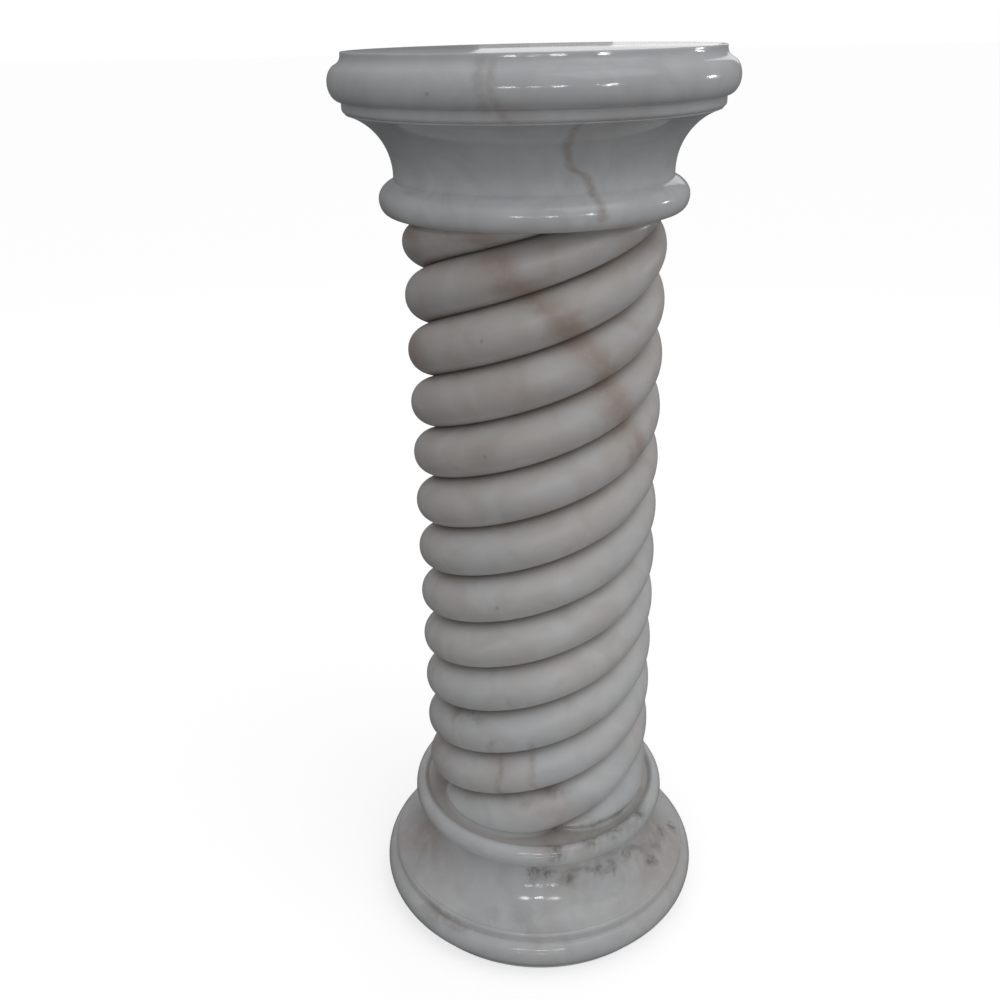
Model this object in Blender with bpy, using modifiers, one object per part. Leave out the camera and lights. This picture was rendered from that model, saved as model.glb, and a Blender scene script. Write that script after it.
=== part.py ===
"""Twisted marble column: a round pedestal turned and carved from one block.

Metres, +Z up. The origin is the centre of the underside and -Y is the front.
The capital and the base are the same turned moulding, one upside down. The
shaft between them is a section of four round strands that twists as it rises.
"""

from math import acos, asin, cos, pi, radians, sin, tau

import bmesh
import bpy
from mathutils import Matrix

NAME = "twisted_column"
HEIGHT = 1.0

# End moulding. Each height is measured from the end face towards the shaft.
RIM_RADIUS = 0.1835
RIM_WALL = 0.0028
FLARE_RADIUS = 0.0088
FLARE_TURN = 1.19
BIG_ROLL_RADIUS = 0.1975
BIG_ROLL_HEIGHT = 0.027
BIG_ROLL_DEPTH = 0.012
BIG_ROLL_HALF_THICKNESS = 0.0167
FILLET_RADIUS = 0.1855
FILLET_END = 0.0545
FILLET_CORNER = 0.0045
HOLLOW_RADIUS = 0.0605
HOLLOW_CENTRE_RADIUS = 0.2005
HOLLOW_CENTRE_HEIGHT = 0.113
SMALL_ROLL_RADIUS = 0.1555
SMALL_ROLL_HEIGHT = 0.1355
SMALL_ROLL_DEPTH = 0.027
SMALL_ROLL_HALF_THICKNESS = 0.019
# Past its equator the small roll is a fuller bead, with a narrow channel between it and the shaft.
BEAD_DEPTH = 0.009
BEAD_HALF_THICKNESS = 0.014
BEAD_END_ANGLE = 2.1
CHANNEL_RADIUS = 0.1373
CHANNEL_HEIGHT = 0.1458

# Shaft. A strand is a bulge of the section between two grooves.
STRANDS = 4
CREST_RADIUS = 0.135
GROOVE_DEPTH = 0.0265
STRAND_ROUNDNESS = 2.1
STRAND_SPACING = 0.058
GROOVE_ANGLE_AT_FLOOR = 0.6
SHAFT_SINK = 0.012
# Close to the mouldings the mason led each groove a little further round.
END_EASE_HEIGHT = 0.0687
TOP_EASE_ANGLE = 0.262
BOTTOM_EASE_ANGLE = 0.197

# Facets
TURNED_STEPS = 40
ROLL_FACETS = 6
HOLLOW_FACETS = 6
FLARE_FACETS = 2
CORNER_FACETS = 2
STRAND_FACETS = 10
TWIST_STEP = radians(17.5)
MERGE = 0.00001

STONE_COLOUR = (0.56, 0.55, 0.54, 1.0)
STONE_ROUGHNESS = 0.28


def arc(centre, half_axes, start, end, facets):
    """Points along an ellipse in the (radius, height) plane, angles from +radius."""
    turns = [start + (end - start) * i / facets for i in range(facets + 1)]
    return [(centre[0] + half_axes[0] * cos(a), centre[1] + half_axes[1] * sin(a)) for a in turns]


def half_roll(equator, height, depth, half_thickness, start, end):
    """The part of a convex moulding on one side of its equator, between two angles."""
    return arc((equator - depth, height), (depth, half_thickness), start, end, ROLL_FACETS // 2)


def end_profile():
    """Outline of one end as (radius, height from the end face), from rim to shaft."""
    # The rim flares out into the big roll with no sharp step.
    flare = arc((RIM_RADIUS + FLARE_RADIUS, RIM_WALL), (FLARE_RADIUS, FLARE_RADIUS),
                pi, pi - FLARE_TURN, FLARE_FACETS)
    big = (BIG_ROLL_RADIUS, BIG_ROLL_HEIGHT, BIG_ROLL_DEPTH, BIG_ROLL_HALF_THICKNESS)
    inner = BIG_ROLL_RADIUS - BIG_ROLL_DEPTH
    big_roll = half_roll(*big, -acos((flare[-1][0] - inner) / BIG_ROLL_DEPTH), 0.0)
    big_roll += half_roll(*big, 0.0, acos((FILLET_RADIUS - inner) / BIG_ROLL_DEPTH))[1:]
    corner_centre = (FILLET_RADIUS - FILLET_CORNER, FILLET_END - FILLET_CORNER)
    corner = arc(corner_centre, (FILLET_CORNER, FILLET_CORNER), 0.0, 0.4 * pi, CORNER_FACETS)
    hollow_start = -pi + asin((HOLLOW_CENTRE_HEIGHT - corner[-1][1]) / HOLLOW_RADIUS)
    hollow = arc((HOLLOW_CENTRE_RADIUS, HOLLOW_CENTRE_HEIGHT), (HOLLOW_RADIUS, HOLLOW_RADIUS),
                 hollow_start, -pi, HOLLOW_FACETS)
    neck = HOLLOW_CENTRE_RADIUS - HOLLOW_RADIUS
    inner = SMALL_ROLL_RADIUS - SMALL_ROLL_DEPTH
    small_roll = half_roll(SMALL_ROLL_RADIUS, SMALL_ROLL_HEIGHT, SMALL_ROLL_DEPTH,
                           SMALL_ROLL_HALF_THICKNESS, -acos((neck - inner) / SMALL_ROLL_DEPTH), 0.0)
    bead = half_roll(SMALL_ROLL_RADIUS, SMALL_ROLL_HEIGHT, BEAD_DEPTH,
                     BEAD_HALF_THICKNESS, 0.0, BEAD_END_ANGLE)
    small_roll += bead[1:] + [(CHANNEL_RADIUS, CHANNEL_HEIGHT)]
    return [(RIM_RADIUS, 0.0)] + flare[:-1] + big_roll + corner + hollow[1:] + small_roll


def stone():
    """Pale polished marble."""
    material = bpy.data.materials.new("marble")
    material.use_nodes = True
    shader = material.node_tree.nodes["Principled BSDF"]
    shader.inputs["Base Color"].default_value = STONE_COLOUR
    shader.inputs["Roughness"].default_value = STONE_ROUGHNESS
    shader.inputs["Metallic"].default_value = 0.0
    return material


def turned_end(name, outline, collection):
    """A solid of revolution. The outline runs down its outer side, top to bottom."""
    points = [(0.0, outline[0][1])] + outline + [(0.0, outline[-1][1])]
    mesh = bpy.data.meshes.new(name)
    edges = [(i, i + 1) for i in range(len(points) - 1)]
    mesh.from_pydata([(radius, 0.0, height) for radius, height in points], edges, [])
    end = bpy.data.objects.new(name, mesh)
    collection.objects.link(end)
    screw = end.modifiers.new("turned", "SCREW")
    screw.axis = "Z"
    screw.angle = tau
    screw.steps = TURNED_STEPS
    screw.render_steps = TURNED_STEPS
    screw.use_merge_vertices = True
    screw.merge_threshold = MERGE
    end.hide_render = True
    end.display_type = "WIRE"
    return end


def shaft_section():
    """Outline of the shaft's section, from groove to groove over each strand."""
    points = []
    for strand in range(STRANDS):
        for facet in range(STRAND_FACETS):
            across = sin(pi * (facet / STRAND_FACETS - 0.5))
            bulge = (1.0 - abs(across) ** STRAND_ROUNDNESS) ** (1.0 / STRAND_ROUNDNESS)
            radius = CREST_RADIUS - GROOVE_DEPTH * (1.0 - bulge)
            angle = tau / STRANDS * (strand + (across + 1.0) / 2.0)
            points.append((radius * cos(angle), radius * sin(angle), 0.0))
    return points


def end_ease(height, moulding):
    """Extra turn of the section near the two mouldings, in radians."""
    above = max(0.0, height - (HEIGHT - moulding - END_EASE_HEIGHT)) / END_EASE_HEIGHT
    below = max(0.0, moulding + END_EASE_HEIGHT - height) / END_EASE_HEIGHT
    return TOP_EASE_ANGLE * above ** 2 + BOTTOM_EASE_ANGLE * below ** 2


def twisted_shaft(moulding, material, collection):
    """The section raised and turned together, anticlockwise seen from above."""
    bottom = moulding - SHAFT_SINK
    top = HEIGHT - bottom
    lead = STRANDS * STRAND_SPACING
    twist = tau * (top - bottom) / lead
    steps = round(twist / TWIST_STEP)
    start = GROOVE_ANGLE_AT_FLOOR + tau * bottom / lead
    shape = bmesh.new()
    corners = [shape.verts.new(point) for point in shaft_section()]
    face = shape.faces.new(corners)
    bmesh.ops.transform(shape, verts=corners,
                        matrix=Matrix.Translation((0.0, 0.0, bottom)) @ Matrix.Rotation(start, 4, "Z"))
    bmesh.ops.spin(shape, geom=[face], cent=(0.0, 0.0, 0.0), axis=(0.0, 0.0, 1.0),
                   dvec=(0.0, 0.0, (top - bottom) / steps), angle=twist, steps=steps)
    for corner in shape.verts:
        corner.co.rotate(Matrix.Rotation(end_ease(corner.co.z, moulding), 3, "Z"))
    bmesh.ops.recalc_face_normals(shape, faces=shape.faces)
    # The short diagonals run up the strands' own curve, so the facets stay close to it.
    bmesh.ops.triangulate(shape, faces=shape.faces, quad_method="SHORT_EDGE")
    mesh = bpy.data.meshes.new(NAME)
    shape.to_mesh(mesh)
    shape.free()
    mesh.materials.append(material)
    shaft = bpy.data.objects.new(NAME, mesh)
    collection.objects.link(shaft)
    return shaft


def join(target, other):
    """Boolean union of another solid into the target."""
    union = target.modifiers.new("with_" + other.name, "BOOLEAN")
    union.operation = "UNION"
    union.solver = "EXACT"
    union.object = other


def main():
    for old in list(bpy.data.objects):
        bpy.data.objects.remove(old, do_unlink=True)
    column = bpy.data.collections.new("twisted_marble_column")
    joined = bpy.data.collections.new("joined_shapes")
    bpy.context.scene.collection.children.link(column)
    bpy.context.scene.collection.children.link(joined)

    outline = end_profile()
    moulding = outline[-1][1]
    capital = turned_end("capital", [(r, HEIGHT - h) for r, h in outline], joined)
    base = turned_end("base", [(r, h) for r, h in reversed(outline)], joined)
    shaft = twisted_shaft(moulding, stone(), column)
    join(shaft, capital)
    join(shaft, base)
    shaft.data.shade_smooth()
    shaft.data.set_sharp_from_angle(angle=radians(35))


main()
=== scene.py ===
"""Dresses the twisted marble column: one finely turned and carved piece in veined marble.

Metres, +Z up. The column stands on the floor at the origin and -Y is the front.
A turn is an angle round the column from its front, in degrees, anticlockwise seen from above.
"""

from collections import namedtuple
from math import acos, asin, atan2, cos, degrees, exp, pi, radians, sin, sqrt, tau

import bpy
from mathutils import Matrix, Vector


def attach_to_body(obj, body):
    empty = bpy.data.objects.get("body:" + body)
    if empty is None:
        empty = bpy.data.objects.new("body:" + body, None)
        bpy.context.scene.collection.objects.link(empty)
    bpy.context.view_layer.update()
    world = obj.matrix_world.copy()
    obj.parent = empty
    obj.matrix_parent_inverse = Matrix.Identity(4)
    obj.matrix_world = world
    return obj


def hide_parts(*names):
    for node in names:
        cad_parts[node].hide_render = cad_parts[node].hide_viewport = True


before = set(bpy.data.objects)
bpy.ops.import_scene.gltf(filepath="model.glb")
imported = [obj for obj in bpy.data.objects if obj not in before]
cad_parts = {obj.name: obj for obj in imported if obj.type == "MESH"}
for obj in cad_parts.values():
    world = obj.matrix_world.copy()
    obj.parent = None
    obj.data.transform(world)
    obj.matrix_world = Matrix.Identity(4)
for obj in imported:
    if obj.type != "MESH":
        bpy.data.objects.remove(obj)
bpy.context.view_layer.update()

# The part's own sizes
HEIGHT = 1.0
RIM_RADIUS = 0.1835
RIM_WALL = 0.0028
FLARE_RADIUS = 0.0088
FLARE_TURN = 1.19
BIG_ROLL_RADIUS = 0.1975
BIG_ROLL_HEIGHT = 0.027
BIG_ROLL_DEPTH = 0.012
BIG_ROLL_HALF_THICKNESS = 0.0167
FILLET_RADIUS = 0.1855
FILLET_END = 0.0545
FILLET_CORNER = 0.0045
FILLET_CORNER_TURN = 0.4 * pi
HOLLOW_RADIUS = 0.0605
HOLLOW_CENTRE_RADIUS = 0.2005
HOLLOW_CENTRE_HEIGHT = 0.113
SMALL_ROLL_RADIUS = 0.1555
SMALL_ROLL_HEIGHT = 0.1355
SMALL_ROLL_DEPTH = 0.027
SMALL_ROLL_HALF_THICKNESS = 0.019
BEAD_DEPTH = 0.009
BEAD_HALF_THICKNESS = 0.014
BEAD_END_ANGLE = 2.1
CHANNEL_HEIGHT = 0.1458
STRANDS = 4
CREST_RADIUS = 0.135
GROOVE_DEPTH = 0.0265
STRAND_ROUNDNESS = 2.1
STRAND_SPACING = 0.058
GROOVE_ANGLE_AT_FLOOR = 0.6
END_EASE_HEIGHT = 0.0687
TOP_EASE_ANGLE = 0.262
BOTTOM_EASE_ANGLE = 0.197

# Small rounded edges that the solid leaves out
RIM_EASE = 0.0012
FOOT_FILLET = 0.004
FOOT_ROUND = 0.003
FOOT_ROUND_HEIGHT = 0.008
GROOVE_SOFTNESS = 0.22

# How finely the piece is drawn
STRAND_COLUMNS = 56
SHAFT_RINGS = 190
ROLL_STEPS = 22
HOLLOW_STEPS = 22
BEAD_STEPS = 10
COVE_STEPS = 5
FOOT_STEPS = 6
FLARE_STEPS = 8
CORNER_STEPS = 6
RIM_STEPS = 4
SHARP_ANGLE = radians(38)

# Colours of the stone
COOL_STONE = (0.655, 0.680, 0.700, 1.0)
WARM_STONE = (0.680, 0.640, 0.610, 1.0)
PALE_STONE = (0.76, 0.77, 0.785, 1.0)
DULL_STONE = (0.46, 0.425, 0.40, 1.0)
# Brownish dirt and painted shade down in the shaft's grooves
GROOVE_DIRT_AND_SHADE = (0.30, 0.25, 0.215, 1.0)
# Dirt and painted shade in the channel between the base and the shaft
CHANNEL_DIRT_AND_SHADE = (0.36, 0.32, 0.27, 1.0)
WARM_STAIN = (0.40, 0.305, 0.265, 1.0)
GREY_STAIN = (0.26, 0.24, 0.22, 1.0)
BROWN_VEIN = (0.34, 0.27, 0.235, 1.0)
PINKISH_STREAK = (0.42, 0.33, 0.29, 1.0)
DARK_VEIN = (0.16, 0.145, 0.13, 1.0)
FAINT_VEIN = (0.36, 0.30, 0.265, 1.0)
SPECK = (0.20, 0.18, 0.17, 1.0)
BLACK = (0.0, 0.0, 0.0, 1.0)

# How each quality changes up the column, as (height, value) points
WARMTH_BY_HEIGHT = [(0.0, 0.25), (0.15, 0.3), (0.3, 0.4), (0.5, 0.62), (0.62, 0.85),
                    (0.84, 0.95), (0.86, 0.12), (1.0, 0.05)]
# Darkening by height: partly the stone's tone, partly painted shade, most in the capital's hollow
TONE_AND_PAINTED_SHADE_BY_HEIGHT = [(0.0, 0.10), (0.15, 0.05), (0.22, 0.0), (0.42, 0.0), (0.55, 0.08), (0.70, 0.15),
                   (0.83, 0.14), (0.855, 0.04), (0.88, 0.05), (0.91, 0.19), (0.95, 0.13), (1.0, 0.12)]
ROUGHNESS_BY_HEIGHT = [(0.0, 0.14), (0.148, 0.14), (0.165, 0.38), (0.5, 0.42),
                       (0.835, 0.38), (0.852, 0.14), (1.0, 0.12)]

# Soft stains, and some painted shade, as (turn, height, half width in degrees, half height, strength)
WARM_STAINS_AND_PAINTED_SHADE = [
    (-14.0, 0.822, 7.0, 0.014, 0.7),
    (-7.0, 0.797, 9.0, 0.010, 0.8),
    (6.0, 0.781, 8.0, 0.008, 0.6),
    (12.0, 0.762, 6.0, 0.014, 1.0),
    (18.0, 0.744, 6.0, 0.007, 0.9),
    (24.0, 0.728, 7.0, 0.014, 0.5),
    (34.0, 0.702, 6.0, 0.014, 0.8),
    (37.0, 0.672, 6.0, 0.012, 0.6),
    (47.0, 0.645, 6.0, 0.010, 0.6),
    (51.0, 0.615, 5.0, 0.014, 0.7),
    (-70.0, 0.716, 12.0, 0.018, 0.8),
    (-68.0, 0.835, 10.0, 0.020, 0.8),
    (-20.0, 0.845, 10.0, 0.008, 0.5),
    (60.0, 0.830, 14.0, 0.014, 0.4),
    (-10.0, 0.700, 14.0, 0.012, 0.3),
    (-22.0, 0.632, 7.0, 0.014, 0.35),
    (24.0, 0.945, 8.0, 0.012, 0.35),
    (-5.0, 0.953, 6.0, 0.010, 0.35),
    (5.0, 0.149, 8.0, 0.006, 0.45),
    (-20.0, 0.245, 6.0, 0.014, 0.4),
    (8.0, 0.190, 14.0, 0.016, 0.3),
    # Painted shade, not stains: the lower sides of the base and shaft, darker on the left
    (-74.0, 0.085, 20.0, 0.035, 0.62),
    (74.0, 0.085, 18.0, 0.035, 0.50),
    (-74.0, 0.225, 18.0, 0.050, 0.50),
    (78.0, 0.225, 12.0, 0.050, 0.25),
]
GREY_STAINS = [
    (-52.0, 0.290, 9.0, 0.006, 0.7),
    (-38.0, 0.300, 7.0, 0.006, 0.8),
    (-9.0, 0.340, 8.0, 0.006, 0.6),
    (8.0, 0.211, 7.0, 0.005, 0.8),
    (-20.0, 0.206, 6.0, 0.006, 0.6),
    (-12.0, 0.197, 8.0, 0.005, 0.6),
    (12.0, 0.102, 6.0, 0.008, 0.5),
    (6.0, 0.124, 5.0, 0.012, 0.5),
    (38.0, 0.110, 10.0, 0.012, 0.5),
    (66.0, 0.075, 12.0, 0.010, 0.4),
    (-10.0, 0.060, 12.0, 0.010, 0.35),
    (-40.0, 0.046, 8.0, 0.007, 0.6),
    (28.0, 0.150, 14.0, 0.010, 0.45),
    (48.0, 0.150, 14.0, 0.010, 0.5),
    (10.0, 0.102, 12.0, 0.012, 0.45),
    (34.0, 0.096, 12.0, 0.010, 0.35),
    (58.0, 0.080, 14.0, 0.014, 0.3),
]
# How quickly a stain fades away from its middle
STAIN_FALL = 0.7

# Veins that climb the stone, as their (height, turn) points from the bottom up
CAPITAL_ROLL_VEIN = [(0.950, -12.5), (0.970, -12.5), (0.985, -13.0), (1.0, -13.0)]
CAPITAL_FILLET_VEIN = [(0.942, -5.0), (0.957, -8.5), (0.972, -9.5), (0.983, -10.0), (1.0, -10.0)]
CAPITAL_HOLLOW_VEIN = [(0.855, 23.0), (0.871, 23.0), (0.879, 22.0), (0.889, 21.0), (0.899, 18.0),
                       (0.904, 14.0), (0.915, 12.0), (0.924, 11.0), (0.934, 11.5), (0.948, 13.0)]
UPPER_SHAFT_STREAK = [(0.600, 54.0), (0.643, 48.0), (0.664, 42.0), (0.696, 35.0), (0.721, 29.0),
                      (0.761, 14.0), (0.787, -2.0), (0.818, -15.0), (0.846, -24.0)]
LOW_SHAFT_LEFT_VEIN = [(0.190, -20.0), (0.222, -20.0), (0.242, -19.0), (0.262, -24.0), (0.290, -20.0)]
LOW_SHAFT_MIDDLE_VEIN = [(0.200, 9.0), (0.212, 6.0), (0.228, -2.0), (0.254, -3.0), (0.292, -3.0)]
BASE_BRANCH_VEIN = [(0.084, -6.0), (0.097, -2.0), (0.111, 2.0), (0.140, 6.0), (0.150, 5.0), (0.160, 8.0)]

# Veins that run round it, as their (turn, height) points from left to right
FOOT_VEIN = [(-48.0, 0.052), (-42.0, 0.046), (-34.0, 0.043), (-25.0, 0.043)]
BEAD_VEIN = [(22.0, 0.151), (32.0, 0.152), (42.0, 0.153), (50.0, 0.154), (58.0, 0.153)]
BASE_HOLLOW_VEIN = [(-7.0, 0.090), (-1.0, 0.104), (8.0, 0.108), (17.0, 0.103), (28.0, 0.098), (36.0, 0.098),
                    (44.0, 0.090), (52.0, 0.096), (60.0, 0.082), (72.0, 0.066), (88.0, 0.058)]
# How far from its ends a vein fades out
VEIN_END_HEIGHT = 0.008
VEIN_END_TURN = 3.0

# Where the dirt and painted shade lie: across a groove, and in the channel between the base and the shaft
GROOVE_BOTTOM_REACH = 0.108
GROOVE_LIP_REACH = 0.127
CHANNEL_WALL_REACH = 0.140
CHANNEL_LIP_REACH = 0.1475
GROOVE_DARKENING_END = 0.001
CHANNEL_DARKENING_LOW = 0.1452
CHANNEL_DARKENING_HIGH = 0.1500
BEAD_UNDERSIDE = 0.140

# Dark blotches and specks as (height, turn, distance from the axis, size)
BLOTCHES = [
    (0.097, 15.0, 0.146, 0.0160),
    (0.150, 54.0, 0.149, 0.0142),
    (0.150, 37.0, 0.148, 0.0142),
    (0.149, 24.0, 0.148, 0.0151),
    (0.147, 8.0, 0.150, 0.0160),
    (0.108, -2.0, 0.140, 0.0151),
    (0.104, 4.0, 0.142, 0.0131),
    (0.097, 30.0, 0.146, 0.0160),
    (0.093, 37.0, 0.148, 0.0131),
    (0.095, 48.0, 0.147, 0.0151),
    (0.072, 61.0, 0.162, 0.0151),
    (0.071, 80.0, 0.163, 0.0151),
    (0.058, 88.0, 0.175, 0.0131),
]
SPECKS = [
    (0.970, -26.0, 0.197, 0.0026),
    (0.894, -23.0, 0.143, 0.0030),
    (0.747, -22.0, 0.135, 0.0030),
    (0.629, -22.0, 0.135, 0.0035),
    (0.458, -18.0, 0.135, 0.0040),
    (0.067, -8.0, 0.155, 0.0045),
    (0.059, -15.0, 0.165, 0.0045),
]

# The camera, with its lens in millimetres and its angles in degrees
CAMERA_PLACE = (0.0, -1.1028, 1.0232)
CAMERA_LENS = 38.247
CAMERA_SENSOR = 36.0
CAMERA_PITCH = 24.27
CAMERA_YAW = -2.126
CAMERA_ROLL = -1.286

FLOOR_HALF_WIDTH = 40.0
FLOOR_GREY = (0.8, 0.8, 0.8, 1.0)
FLOOR_GLOW = 0.60
WHITE = (1.0, 1.0, 1.0, 1.0)
# The sky's strength, and how much it grows along each axis
SKY_LEVEL = 0.30
SKY_RISE = {"Z": 0.27, "X": 0.065, "Y": -0.13}


def arc(centre, half_axes, start, end, steps):
    """Points along an ellipse in the (radius, height) plane, angles from +radius."""
    turns = [start + (end - start) * i / steps for i in range(steps + 1)]
    return [(centre[0] + half_axes[0] * cos(a), centre[1] + half_axes[1] * sin(a)) for a in turns]


def moulding_line():
    """Outline of one end as (radius, height from the end face), up to the small roll's equator."""
    rim = arc((RIM_RADIUS - RIM_EASE, RIM_EASE), (RIM_EASE, RIM_EASE), -0.5 * pi, 0.0, RIM_STEPS)
    flare = arc((RIM_RADIUS + FLARE_RADIUS, RIM_WALL), (FLARE_RADIUS, FLARE_RADIUS),
                pi, pi - FLARE_TURN, FLARE_STEPS)

    inner = BIG_ROLL_RADIUS - BIG_ROLL_DEPTH
    start = -acos((flare[-1][0] - inner) / BIG_ROLL_DEPTH)
    end = acos((FILLET_RADIUS - inner) / BIG_ROLL_DEPTH)
    half_axes = (BIG_ROLL_DEPTH, BIG_ROLL_HALF_THICKNESS)
    below = arc((inner, BIG_ROLL_HEIGHT), half_axes, start, 0.0, ROLL_STEPS // 2)
    above = arc((inner, BIG_ROLL_HEIGHT), half_axes, 0.0, end, ROLL_STEPS // 2)
    big_roll = below + above[1:]

    corner_centre = (FILLET_RADIUS - FILLET_CORNER, FILLET_END - FILLET_CORNER)
    corner = arc(corner_centre, (FILLET_CORNER, FILLET_CORNER), 0.0, FILLET_CORNER_TURN, CORNER_STEPS)
    hollow_start = -pi + asin((HOLLOW_CENTRE_HEIGHT - corner[-1][1]) / HOLLOW_RADIUS)
    hollow = arc((HOLLOW_CENTRE_RADIUS, HOLLOW_CENTRE_HEIGHT), (HOLLOW_RADIUS, HOLLOW_RADIUS),
                 hollow_start, -pi, HOLLOW_STEPS)

    neck = HOLLOW_CENTRE_RADIUS - HOLLOW_RADIUS
    small_inner = SMALL_ROLL_RADIUS - SMALL_ROLL_DEPTH
    small_start = -acos((neck - small_inner) / SMALL_ROLL_DEPTH)
    small_roll = arc((small_inner, SMALL_ROLL_HEIGHT), (SMALL_ROLL_DEPTH, SMALL_ROLL_HALF_THICKNESS),
                     small_start, 0.0, ROLL_STEPS // 2)
    return rim + flare[:-1] + big_roll + corner + hollow[1:] + small_roll


def bead_line(shaft_radius):
    """The rest of an end's outline: over the bead, through the channel and up to the shaft."""
    bead = arc((SMALL_ROLL_RADIUS - BEAD_DEPTH, SMALL_ROLL_HEIGHT), (BEAD_DEPTH, BEAD_HALF_THICKNESS),
               0.0, BEAD_END_ANGLE, BEAD_STEPS)
    slope = atan2(-BEAD_HALF_THICKNESS * cos(BEAD_END_ANGLE), BEAD_DEPTH * sin(BEAD_END_ANGLE))
    cove_radius = (bead[-1][1] - CHANNEL_HEIGHT) / (1.0 - cos(slope))
    cove_centre = (bead[-1][0] - cove_radius * sin(slope), CHANNEL_HEIGHT + cove_radius)
    cove = arc(cove_centre, (cove_radius, cove_radius), slope - 0.5 * pi, -0.5 * pi, COVE_STEPS)

    lean = atan2(2.0 * FOOT_ROUND, FOOT_ROUND_HEIGHT)
    foot_centre = (shaft_radius - FOOT_ROUND + FOOT_FILLET * cos(lean), CHANNEL_HEIGHT + FOOT_FILLET)
    foot = arc(foot_centre, (FOOT_FILLET, FOOT_FILLET), -0.5 * pi, -pi - lean, FOOT_STEPS)
    channel = [(0.5 * (cove[-1][0] + foot[0][0]), CHANNEL_HEIGHT)]
    return bead[1:] + cove[1:] + channel + foot


def evenly(first, last, steps):
    """Evenly spaced values from first to last."""
    return [first + (last - first) * i / steps for i in range(steps + 1)]


def groove_angle(height):
    """Angle round the axis of the first groove at a height."""
    above = max(0.0, height - (HEIGHT - CHANNEL_HEIGHT - END_EASE_HEIGHT)) / END_EASE_HEIGHT
    below = max(0.0, CHANNEL_HEIGHT + END_EASE_HEIGHT - height) / END_EASE_HEIGHT
    ease = TOP_EASE_ANGLE * above ** 2 + BOTTOM_EASE_ANGLE * below ** 2
    return GROOVE_ANGLE_AT_FLOOR + tau * height / (STRANDS * STRAND_SPACING) + ease


def shaft_heights(low):
    """Heights of the shaft's rings between its two feet, closer where a foot is rounded."""
    first = low + FOOT_ROUND_HEIGHT
    foot = evenly(low, first, FOOT_STEPS)[1:-1]
    middle = evenly(first, HEIGHT - first, SHAFT_RINGS)
    return foot + middle + [HEIGHT - height for height in reversed(foot)]


def column_line(radius):
    """Points (radius, height, height that sets the angle) from the underside's rim to the top's."""
    end = moulding_line() + bead_line(radius)
    low = end[-1][1]
    points = [(r, h, low) for r, h in end]
    for height in shaft_heights(low):
        near = 1.0 - (min(height, HEIGHT - height) - low) / FOOT_ROUND_HEIGHT
        points.append((radius - FOOT_ROUND * max(0.0, near) ** 2, height, height))
    points += [(r, HEIGHT - h, HEIGHT - low) for r, h in reversed(end)]
    return points


def strand_radius(across):
    """Radius of the section at a place from -1 to 1 across a strand, with a softened groove."""
    bulge = (1.0 - abs(across) ** STRAND_ROUNDNESS) ** (1.0 / STRAND_ROUNDNESS)
    soft_bulge = sqrt(bulge * bulge + GROOVE_SOFTNESS ** 2) - GROOVE_SOFTNESS
    full_bulge = sqrt(1.0 + GROOVE_SOFTNESS ** 2) - GROOVE_SOFTNESS
    return CREST_RADIUS - GROOVE_DEPTH * (1.0 - soft_bulge / full_bulge)


def fine_column(name):
    """The whole column as one closed mesh of small triangles that follow the strands."""
    columns = []
    for strand in range(STRANDS):
        for step in range(STRAND_COLUMNS):
            across = sin(pi * (step / STRAND_COLUMNS - 0.5))
            offset = tau / STRANDS * (strand + (across + 1.0) / 2.0)
            columns.append((strand_radius(across), offset))
    vertices = []
    for radius, offset in columns:
        for r, height, twist_height in column_line(radius):
            angle = offset + groove_angle(twist_height)
            vertices.append((r * cos(angle), r * sin(angle), height))
    rings = len(vertices) // len(columns)
    bottom_centre = len(vertices)
    top_centre = bottom_centre + 1
    vertices += [(0.0, 0.0, 0.0), (0.0, 0.0, HEIGHT)]

    faces = []
    for i in range(len(columns)):
        here = i * rings
        beside = (i + 1) % len(columns) * rings
        for k in range(rings - 1):
            # The diagonal is the short one, across the strand's slope.
            faces.append((here + k, beside + k, here + k + 1))
            faces.append((beside + k, beside + k + 1, here + k + 1))
        faces.append((bottom_centre, beside, here))
        faces.append((top_centre, here + rings - 1, beside + rings - 1))
    mesh = bpy.data.meshes.new(name)
    mesh.from_pydata(vertices, [], faces)
    mesh.validate()
    mesh.shade_smooth()
    mesh.set_sharp_from_angle(angle=SHARP_ANGLE)
    column = bpy.data.objects.new(name, mesh)
    bpy.context.scene.collection.objects.link(column)
    return column


def stain_strength(stains, turn, height):
    """How strongly the stains, and any painted shade among them, colour a point, from 0 to 1."""
    strongest_here = 0.0
    for centre_turn, centre_height, half_width, half_height, strength in stains:
        across = (turn - centre_turn) / half_width
        up = (height - centre_height) / half_height
        strongest_here = max(strongest_here, strength * exp(-STAIN_FALL * (across * across + up * up)))
    return strongest_here


def stain(column, name, stains):
    """Keeps the strength of the stains, and of any painted shade among them, at every corner of the mesh,
    for the material to read.
    """
    layer = column.data.attributes.new(name, "FLOAT", "POINT")
    strengths = []
    for vertex in column.data.vertices:
        x, y, height = vertex.co
        strengths.append(stain_strength(stains, degrees(atan2(x, -y)), height))
    layer.data.foreach_set("value", strengths)


def attach(tree, node, inputs):
    """Sets a node's inputs by name or number, from another node's output or as a plain value."""
    for key, value in inputs.items():
        socket = node.inputs[key]
        if isinstance(value, bpy.types.NodeSocket):
            tree.links.new(value, socket)
        else:
            socket.default_value = value


def calculate(tree, operation, *values):
    """Result of one sum, product or other operation on one to three values."""
    node = tree.nodes.new("ShaderNodeMath")
    node.operation = operation
    attach(tree, node, dict(enumerate(values)))
    return node.outputs["Value"]


def product(tree, first, *others):
    """Several values multiplied together."""
    result = first
    for value in others:
        result = calculate(tree, "MULTIPLY", result, value)
    return result


def strongest(tree, values):
    """The largest of several values."""
    result = values[0]
    for value in values[1:]:
        result = calculate(tree, "MAXIMUM", result, value)
    return result


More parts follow.
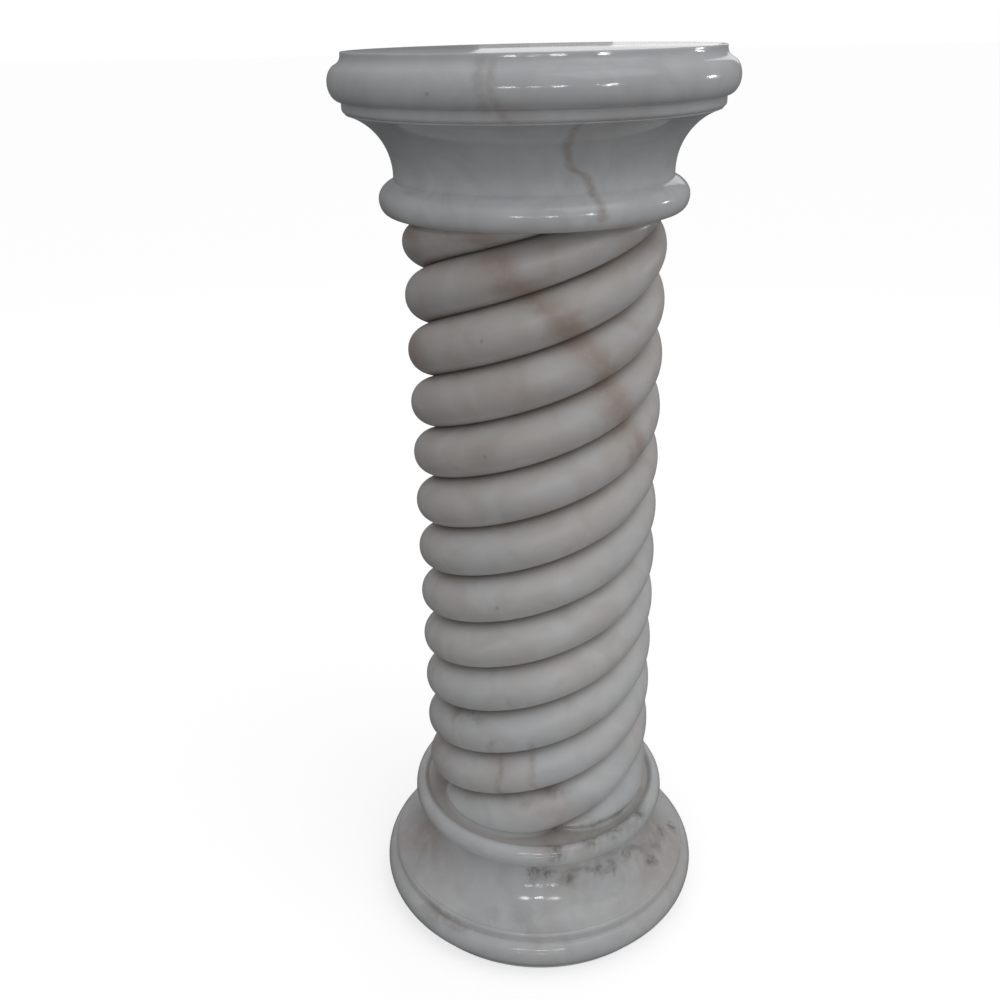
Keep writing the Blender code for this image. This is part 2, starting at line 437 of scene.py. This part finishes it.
def swing(tree, noise, span):
    """A noise round 0.5 made to swing half the span to either side of zero."""
    return calculate(tree, "MULTIPLY_ADD", noise, span, -0.5 * span)


def noise_value(tree, position, scale, detail=2.0, roughness=0.5, distortion=0.0):
    """Cloudy noise round 0.5. The scale is in waves per metre."""
    node = tree.nodes.new("ShaderNodeTexNoise")
    attach(tree, node, {"Vector": position, "Scale": scale, "Detail": detail,
                        "Roughness": roughness, "Distortion": distortion})
    return node.outputs["Fac"]


def ease_between(tree, value, low, high, start=0.0, end=1.0):
    """Goes smoothly from start to end while the value goes from low to high."""
    node = tree.nodes.new("ShaderNodeMapRange")
    node.interpolation_type = "SMOOTHSTEP"
    attach(tree, node, {"Value": value, "From Min": low, "From Max": high,
                        "To Min": start, "To Max": end})
    return node.outputs["Result"]


def tint(tree, colour, share, other):
    """Turns a share of one colour into another."""
    node = tree.nodes.new("ShaderNodeMix")
    node.data_type = "RGBA"
    attach(tree, node, {"Factor": share})
    attach(tree, node, {6: colour, 7: other})
    return node.outputs[2]


def curve_through(tree, value, points):
    """A smooth curve through (value, result) points, both from 0 to 1."""
    node = tree.nodes.new("ShaderNodeFloatCurve")
    curve = node.mapping.curves[0]
    while len(curve.points) < len(points):
        curve.points.new(0.5, 0.5)
    for point, place in zip(curve.points, points):
        point.location = place
        point.handle_type = "AUTO"
    node.mapping.update()
    attach(tree, node, {"Value": value})
    return node.outputs["Value"]


# What the material reads at a point: its place, and two noises that break up the marks.
Stone = namedtuple("Stone", ["position", "height", "turn", "reach", "mottling", "wisps"])


def read_stone(tree):
    """Position, height, turn, distance from the axis and the two noises."""
    coordinates = tree.nodes.new("ShaderNodeTexCoord")
    position = coordinates.outputs["Object"]
    parts = tree.nodes.new("ShaderNodeSeparateXYZ")
    attach(tree, parts, {"Vector": position})
    x, y, height = parts.outputs["X"], parts.outputs["Y"], parts.outputs["Z"]
    forward = calculate(tree, "MULTIPLY", y, -1.0)
    turn = calculate(tree, "DEGREES", calculate(tree, "ARCTAN2", x, forward))
    reach = calculate(tree, "SQRT", calculate(tree, "MULTIPLY_ADD", y, y, product(tree, x, x)))
    mottling = noise_value(tree, position, scale=42.0, detail=4.0, roughness=0.6, distortion=0.4)
    wisps = noise_value(tree, position, scale=150.0, detail=3.0, roughness=0.6)
    return Stone(position, height, turn, reach, mottling, wisps)


def rising_vein(tree, stone, path, width, sway):
    """A vein that climbs the stone. The width is to each side, and the sway pushes it aside."""
    bottom, top = path[0][0], path[-1][0]
    centre = curve_through(tree, stone.height, [(h, 0.5 + t / 360.0) for h, t in path])
    centre_turn = calculate(tree, "MULTIPLY_ADD", centre, 360.0, -180.0)
    aside = calculate(tree, "SUBTRACT", stone.turn, centre_turn)
    arc_length = calculate(tree, "ADD", product(tree, aside, stone.reach, pi / 180.0), sway)
    near = ease_between(tree, calculate(tree, "ABSOLUTE", arc_length), 0.0, width, start=1.0, end=0.0)
    above = ease_between(tree, stone.height, bottom, bottom + VEIN_END_HEIGHT)
    below = ease_between(tree, stone.height, top - VEIN_END_HEIGHT, top, start=1.0, end=0.0)
    return product(tree, above, below, near)


def level_vein(tree, stone, path, width, sway):
    """A vein that runs round the stone. The width is to each side, and the sway lifts or lowers it."""
    left, right = path[0][0], path[-1][0]
    share = calculate(tree, "MULTIPLY_ADD", stone.turn, 1.0 / 360.0, 0.5)
    centre = curve_through(tree, share, [(0.5 + t / 360.0, h) for t, h in path])
    aside = calculate(tree, "ADD", calculate(tree, "SUBTRACT", stone.height, centre), sway)
    near = ease_between(tree, calculate(tree, "ABSOLUTE", aside), 0.0, width, start=1.0, end=0.0)
    after = ease_between(tree, stone.turn, left, left + VEIN_END_TURN)
    before = ease_between(tree, stone.turn, right - VEIN_END_TURN, right, start=1.0, end=0.0)
    return product(tree, after, before, near)


def blotch(tree, stone, ragged, height, turn, reach, size):
    """A soft spot at a height and turn, on a surface that is reach from the axis."""
    centre = (reach * sin(radians(turn)), -reach * cos(radians(turn)), height)
    gap = tree.nodes.new("ShaderNodeVectorMath")
    gap.operation = "DISTANCE"
    attach(tree, gap, {0: stone.position, 1: centre})
    distance = calculate(tree, "ADD", gap.outputs["Value"], ragged)
    return ease_between(tree, distance, 0.1 * size, size, start=1.0, end=0.0)


def clouded_stone(tree, stone):
    """The stone: cool at the top, warm down the upper shaft and neutral below, darkened by height partly
    with painted shade.
    """
    clouds = noise_value(tree, stone.position, scale=9.0, detail=4.0, roughness=0.55, distortion=0.6)
    warmth = curve_through(tree, stone.height, WARMTH_BY_HEIGHT)
    warmth = calculate(tree, "ADD", warmth, swing(tree, clouds, 1.3))
    colour = tint(tree, COOL_STONE, ease_between(tree, warmth, 0.0, 1.0), WARM_STONE)
    patches = noise_value(tree, stone.position, scale=24.0, detail=3.0, roughness=0.5, distortion=0.8)
    colour = tint(tree, colour, ease_between(tree, patches, 0.40, 0.68, 0.0, 0.55), PALE_STONE)
    colour = tint(tree, colour, ease_between(tree, patches, 0.30, 0.46, 0.15, 0.0), DULL_STONE)
    # Darker down the upper shaft than near the foot, partly the stone's tone, and painted shade darkens the
    # capital's hollow under its big roll.
    return tint(tree, colour, curve_through(tree, stone.height, TONE_AND_PAINTED_SHADE_BY_HEIGHT), BLACK)


def add_dirt_and_painted_shade(tree, stone, colour):
    """Old brownish dirt with painted shade in the grooves of the shaft and in the channel at its foot."""
    in_groove = ease_between(tree, stone.reach, GROOVE_BOTTOM_REACH, GROOVE_LIP_REACH, start=0.55, end=0.0)
    middle = 0.5 * HEIGHT
    from_middle = calculate(tree, "ABSOLUTE", calculate(tree, "SUBTRACT", stone.height, middle))
    on_shaft = calculate(tree, "LESS_THAN", from_middle, middle - CHANNEL_HEIGHT - GROOVE_DARKENING_END)
    # Dirt and painted shade darken the grooves.
    colour = tint(tree, colour, product(tree, in_groove, on_shaft), GROOVE_DIRT_AND_SHADE)
    # Dirt and painted shade darken the channel at the shaft's foot.
    low = ease_between(tree, stone.height, CHANNEL_DARKENING_LOW, CHANNEL_DARKENING_HIGH, start=1.0, end=0.0)
    inside = ease_between(tree, stone.reach, CHANNEL_WALL_REACH, CHANNEL_LIP_REACH, start=1.0, end=0.0)
    above_bead = calculate(tree, "GREATER_THAN", stone.height, BEAD_UNDERSIDE)
    return tint(tree, colour, product(tree, low, inside, 0.5, above_bead), CHANNEL_DIRT_AND_SHADE)


def add_stains_and_painted_shade(tree, stone, colour):
    """Soft warm and grey stains, broken up by the mottling; the warm ones also hold painted shade on the
    lower sides.
    """
    warm = tree.nodes.new("ShaderNodeAttribute")
    warm.attribute_name = "warm_stain_and_shade"
    patchy = ease_between(tree, stone.mottling, 0.3, 0.6, start=0.55, end=1.0)
    # Warm stains, with painted shade on the lower sides.
    colour = tint(tree, colour, product(tree, warm.outputs["Fac"], patchy), WARM_STAIN)
    grey = tree.nodes.new("ShaderNodeAttribute")
    grey.attribute_name = "grey_stain"
    broken = ease_between(tree, stone.mottling, 0.38, 0.6, start=0.15, end=0.8)
    return tint(tree, colour, product(tree, grey.outputs["Fac"], broken), GREY_STAIN)


def add_brown_veins(tree, stone, colour):
    """Brown veins with soft edges on both ends and the lower shaft."""
    sway = swing(tree, stone.mottling, 0.008)
    soft = strongest(tree, [
        rising_vein(tree, stone, CAPITAL_ROLL_VEIN, 0.009, sway),
        rising_vein(tree, stone, CAPITAL_FILLET_VEIN, 0.008, sway),
        rising_vein(tree, stone, LOW_SHAFT_LEFT_VEIN, 0.007, sway),
        rising_vein(tree, stone, LOW_SHAFT_MIDDLE_VEIN, 0.007, sway),
        level_vein(tree, stone, FOOT_VEIN, 0.005, sway),
    ])
    soft = product(tree, soft, ease_between(tree, stone.wisps, 0.35, 0.65, start=0.16, end=0.40))
    colour = tint(tree, colour, soft, BROWN_VEIN)
    clear = rising_vein(tree, stone, CAPITAL_HOLLOW_VEIN, 0.0075, sway)
    clear = product(tree, clear, ease_between(tree, stone.wisps, 0.3, 0.6, start=0.3, end=0.6))
    return tint(tree, colour, clear, BROWN_VEIN)


def add_streak(tree, stone, sway, colour):
    """A broad pinkish streak that crosses the strands of the upper shaft."""
    streak = rising_vein(tree, stone, UPPER_SHAFT_STREAK, 0.024, product(tree, sway, 1.6))
    streak = product(tree, streak, ease_between(tree, stone.mottling, 0.36, 0.56, start=0.2, end=0.62))
    return tint(tree, colour, streak, PINKISH_STREAK)


def add_dark_marks(tree, stone, sway, colour):
    """Dark veins round the base, thin and broken, with ragged blotches along them."""
    veins = strongest(tree, [
        level_vein(tree, stone, BEAD_VEIN, 0.007, sway),
        level_vein(tree, stone, BASE_HOLLOW_VEIN, 0.008, sway),
        rising_vein(tree, stone, BASE_BRANCH_VEIN, 0.007, sway),
    ])
    dashes = noise_value(tree, stone.position, scale=60.0, detail=3.0, roughness=0.55)
    veins = product(tree, veins, ease_between(tree, dashes, 0.40, 0.62), 0.42)

    ragged = noise_value(tree, stone.position, scale=90.0, detail=3.0, roughness=0.6)
    ragged = calculate(tree, "MULTIPLY_ADD", ragged, 0.020, -0.0095)
    blotches = strongest(tree, [blotch(tree, stone, ragged, *spot) for spot in BLOTCHES])
    upright = tree.nodes.new("ShaderNodeVectorMath")
    upright.operation = "MULTIPLY"
    attach(tree, upright, {0: stone.position, 1: (1.0, 1.0, 0.35)})
    smears = noise_value(tree, upright.outputs["Vector"], scale=190.0, detail=2.0, roughness=0.5)
    smears = ease_between(tree, smears, 0.36, 0.62, start=0.35, end=1.0)
    blotches = product(tree, blotches, smears, 0.72)
    return tint(tree, colour, calculate(tree, "MAXIMUM", veins, blotches), DARK_VEIN)


def add_faint_veins(tree, stone, colour):
    """Faint veins everywhere, clearer round the back."""
    lines = noise_value(tree, stone.position, scale=6.5, detail=5.0, roughness=0.55, distortion=1.4)
    lines = calculate(tree, "ABSOLUTE", calculate(tree, "SUBTRACT", lines, 0.5))
    lines = ease_between(tree, lines, 0.0, 0.018, start=1.0, end=0.0)
    sparse = ease_between(tree, noise_value(tree, stone.position, scale=4.0), 0.48, 0.62)
    behind = ease_between(tree, calculate(tree, "ABSOLUTE", stone.turn), 80.0, 115.0, start=0.08, end=0.70)
    return tint(tree, colour, product(tree, lines, sparse, behind), FAINT_VEIN)


def add_specks(tree, stone, colour):
    """A few small dark specks."""
    specks = strongest(tree, [blotch(tree, stone, 0.0, *spot) for spot in SPECKS])
    return tint(tree, colour, product(tree, specks, 0.4), SPECK)


def relief(tree, stone):
    """The slight waviness and grain that polishing leaves."""
    waves = noise_value(tree, stone.position, scale=55.0, detail=2.0, roughness=0.4)
    grain = noise_value(tree, stone.position, scale=420.0, detail=2.0, roughness=0.5)
    bump = tree.nodes.new("ShaderNodeBump")
    height = calculate(tree, "MULTIPLY_ADD", grain, 0.03, waves)
    attach(tree, bump, {"Height": height, "Distance": 0.0004, "Strength": 0.5})
    return bump.outputs["Normal"]


def marble():
    """White-grey marble, polished on the turned ends and only rubbed smooth on the shaft."""
    material = bpy.data.materials.new("marble")
    material.use_nodes = True
    tree = material.node_tree
    stone = read_stone(tree)
    sway = calculate(tree, "ADD", swing(tree, stone.mottling, 0.014), swing(tree, stone.wisps, 0.004))
    colour = clouded_stone(tree, stone)
    colour = add_dirt_and_painted_shade(tree, stone, colour)
    colour = add_stains_and_painted_shade(tree, stone, colour)
    colour = add_brown_veins(tree, stone, colour)
    colour = add_streak(tree, stone, sway, colour)
    colour = add_dark_marks(tree, stone, sway, colour)
    colour = add_faint_veins(tree, stone, colour)
    colour = add_specks(tree, stone, colour)
    roughness = curve_through(tree, stone.height, ROUGHNESS_BY_HEIGHT)
    roughness = calculate(tree, "ADD", roughness, swing(tree, stone.mottling, 0.12))
    attach(tree, tree.nodes["Principled BSDF"], {
        "Base Color": colour,
        "Roughness": roughness,
        "Normal": relief(tree, stone),
        "Subsurface Weight": 0.15,
        "Subsurface Radius": (1.0, 0.8, 0.65),
        "Subsurface Scale": 0.006,
    })
    return material


def area_light(name, place, target, size, power, spread=180.0):
    """A soft rectangular light that faces the target, with its power in watts."""
    data = bpy.data.lights.new(name, "AREA")
    data.shape = "RECTANGLE"
    data.size = size[0]
    data.size_y = size[1]
    data.energy = power
    data.spread = radians(spread)
    light = bpy.data.objects.new(name, data)
    light.location = place
    light.rotation_euler = (Vector(target) - Vector(place)).to_track_quat("-Z", "Y").to_euler()
    bpy.context.scene.collection.objects.link(light)
    return light


def soft_lights():
    """Broad light from the front right above, and from behind the column."""
    middle = (0.0, 0.0, 0.5)
    area_light("overhead", (1.2, -1.0, 2.6), middle, (1.8, 1.4), 6.0)
    behind = area_light("behind", (0.5, 2.6, 1.7), middle, (1.5, 1.2), 4.0)
    behind.visible_camera = False


def glint_lamps():
    """Small lamps that show only as sharp glints on the polished mouldings."""
    large = (0.26, 0.15)
    medium = (0.22, 0.13)
    small = (0.20, 0.10)
    shaft = (0.0, 0.0, 0.6)
    base = (0.0, 0.0, 0.1)
    capital = (0.0, 0.0, 0.97)
    foot = (0.0, 0.0, 0.03)
    lamps = [
        area_light("lamp_left", (-0.47, -2.19, 1.17), shaft, large, 2.4),
        area_light("lamp_middle", (0.03, -2.24, 1.14), base, medium, 0.20, spread=60.0),
        area_light("lamp_right", (0.50, -2.18, 1.17), shaft, large, 2.3),
        area_light("lamp_corner", (1.41, -1.74, 1.17), capital, large, 0.07, spread=24.0),
        area_light("lamp_side", (2.21, 0.67, 1.18), capital, large, 0.07, spread=24.0),
        area_light("low_left", (-0.37, -2.35, 0.10), foot, small, 0.0060, spread=14.0),
        area_light("low_middle", (0.02, -2.35, 0.10), foot, small, 0.0060, spread=14.0),
        area_light("low_right", (0.46, -2.35, 0.10), foot, small, 0.0060, spread=14.0),
    ]
    for lamp in lamps:
        lamp.visible_diffuse = False


def bright_openings():
    """Openings behind that show only as the pale streak on the polished top."""
    top = (0.0, 0.0, HEIGHT)
    wide = area_light("opening", (0.42, 2.5, 1.09), top, (0.34, 0.14), 0.12)
    narrow = area_light("opening_beside", (0.12, 2.5, 1.09), top, (0.26, 0.14), 0.012)
    wide.visible_camera = False
    narrow.visible_camera = False


def pale_floor():
    """A wide pale floor that takes the column's shadow. It lights nothing itself."""
    half = FLOOR_HALF_WIDTH
    mesh = bpy.data.meshes.new("floor")
    mesh.from_pydata([(-half, -half, 0.0), (half, -half, 0.0), (half, half, 0.0), (-half, half, 0.0)],
                     [], [(0, 1, 2, 3)])
    floor = bpy.data.objects.new("floor", mesh)
    bpy.context.scene.collection.objects.link(floor)
    material = bpy.data.materials.new("floor")
    material.use_nodes = True
    tree = material.node_tree
    attach(tree, tree.nodes["Principled BSDF"], {
        "Base Color": FLOOR_GREY,
        "Roughness": 1.0,
        "Specular IOR Level": 0.0,
        "Emission Color": WHITE,
        "Emission Strength": FLOOR_GLOW,
    })
    mesh.materials.append(material)
    floor.visible_diffuse = False
    floor.visible_glossy = False
    floor.visible_shadow = False


def surroundings():
    """White behind the column, and soft light on it, stronger from above, the right and the front."""
    world = bpy.data.worlds.new("surroundings")
    bpy.context.scene.world = world
    world.use_nodes = True
    tree = world.node_tree
    direction = tree.nodes.new("ShaderNodeTexCoord")
    parts = tree.nodes.new("ShaderNodeSeparateXYZ")
    attach(tree, parts, {"Vector": direction.outputs["Generated"]})
    strength = SKY_LEVEL
    for axis, rise in SKY_RISE.items():
        strength = calculate(tree, "MULTIPLY_ADD", parts.outputs[axis], rise, strength)
    soft = tree.nodes["Background"]
    attach(tree, soft, {"Color": WHITE, "Strength": strength})
    backdrop = tree.nodes.new("ShaderNodeBackground")
    attach(tree, backdrop, {"Color": WHITE, "Strength": 1.0})
    seen = tree.nodes.new("ShaderNodeLightPath")
    mix = tree.nodes.new("ShaderNodeMixShader")
    attach(tree, mix, {"Fac": seen.outputs["Is Camera Ray"], 1: soft.outputs["Background"],
                       2: backdrop.outputs["Background"]})
    attach(tree, tree.nodes["World Output"], {"Surface": mix.outputs["Shader"]})


def photo_camera():
    """The viewpoint of the photo: level with the top, looking down at the column."""
    data = bpy.data.cameras.new("camera")
    data.sensor_width = CAMERA_SENSOR
    data.lens = CAMERA_LENS
    pitch, yaw, roll = radians(CAMERA_PITCH), radians(CAMERA_YAW), radians(CAMERA_ROLL)
    forward = Vector((sin(yaw) * cos(pitch), cos(yaw) * cos(pitch), -sin(pitch)))
    level = Vector((cos(yaw), -sin(yaw), 0.0))
    upright = level.cross(forward)
    right = level * cos(roll) + upright * sin(roll)
    up = upright * cos(roll) - level * sin(roll)
    camera = bpy.data.objects.new("camera", data)
    turn = Matrix((right, up, -forward)).transposed()
    camera.matrix_world = Matrix.Translation(CAMERA_PLACE) @ turn.to_4x4()
    bpy.context.scene.collection.objects.link(camera)
    bpy.context.scene.camera = camera


column = fine_column("column")
stain(column, "warm_stain_and_shade", WARM_STAINS_AND_PAINTED_SHADE)
stain(column, "grey_stain", GREY_STAINS)
column.data.materials.append(marble())
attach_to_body(column, "root")
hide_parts("twisted_column")

pale_floor()
surroundings()
photo_camera()
soft_lights()
glint_lamps()
bright_openings()
bpy.context.scene.view_settings.view_transform = "Standard"
